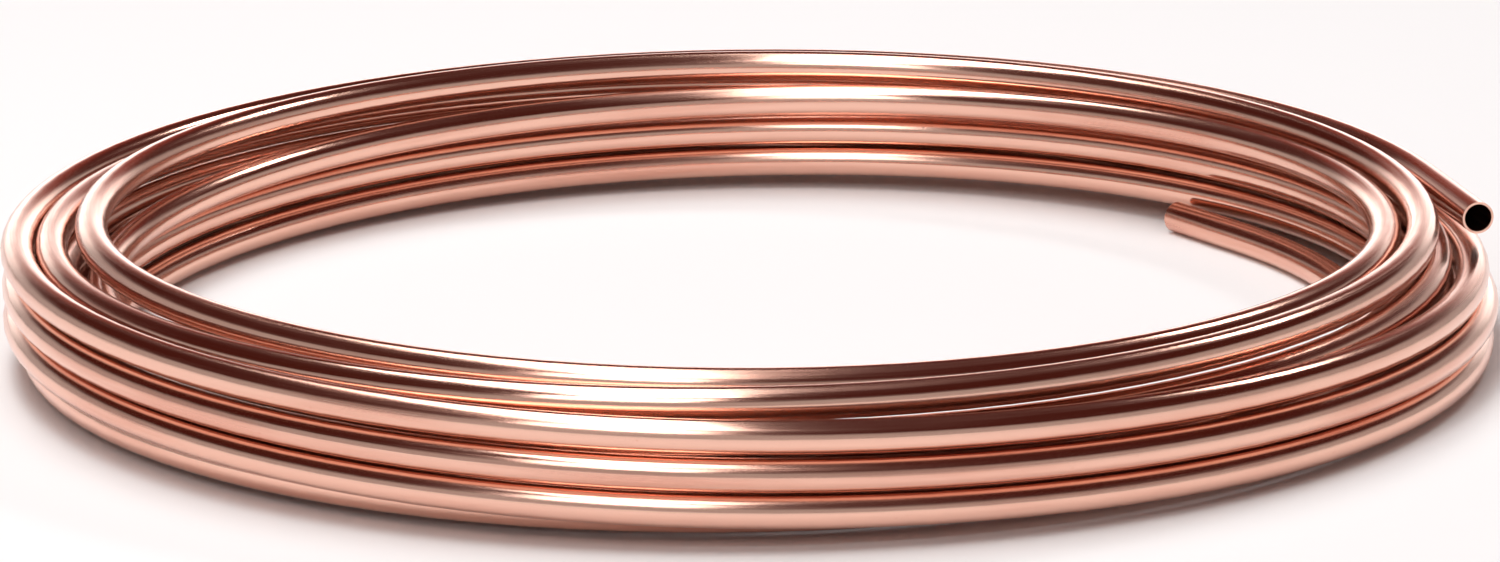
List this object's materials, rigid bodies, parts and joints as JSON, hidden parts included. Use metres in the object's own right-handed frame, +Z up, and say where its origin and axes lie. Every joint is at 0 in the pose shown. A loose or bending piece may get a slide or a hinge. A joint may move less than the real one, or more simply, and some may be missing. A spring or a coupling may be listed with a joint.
{
  "type": "copper tube coil",
  "caption": "Soft copper tube wound into a flat round coil of several layers, open in the middle, with both plain cut ends showing.",
  "frame": {"origin": "middle of the coil, on the level surface it lies on", "axes": "+Z up along the coil's axis; +X towards the side where the outer end leaves the coil; +Y away from that end's opening, so that the outer end points towards -Y"},
  "size_m": [0.4587, 0.4597, 0.0485],
  "materials": {
    "copper": "bright drawn copper with fine lengthwise draw lines"
  },
  "bodies": {
    "root": {"copper_tube": "copper"}
  },
  "joints": []
}
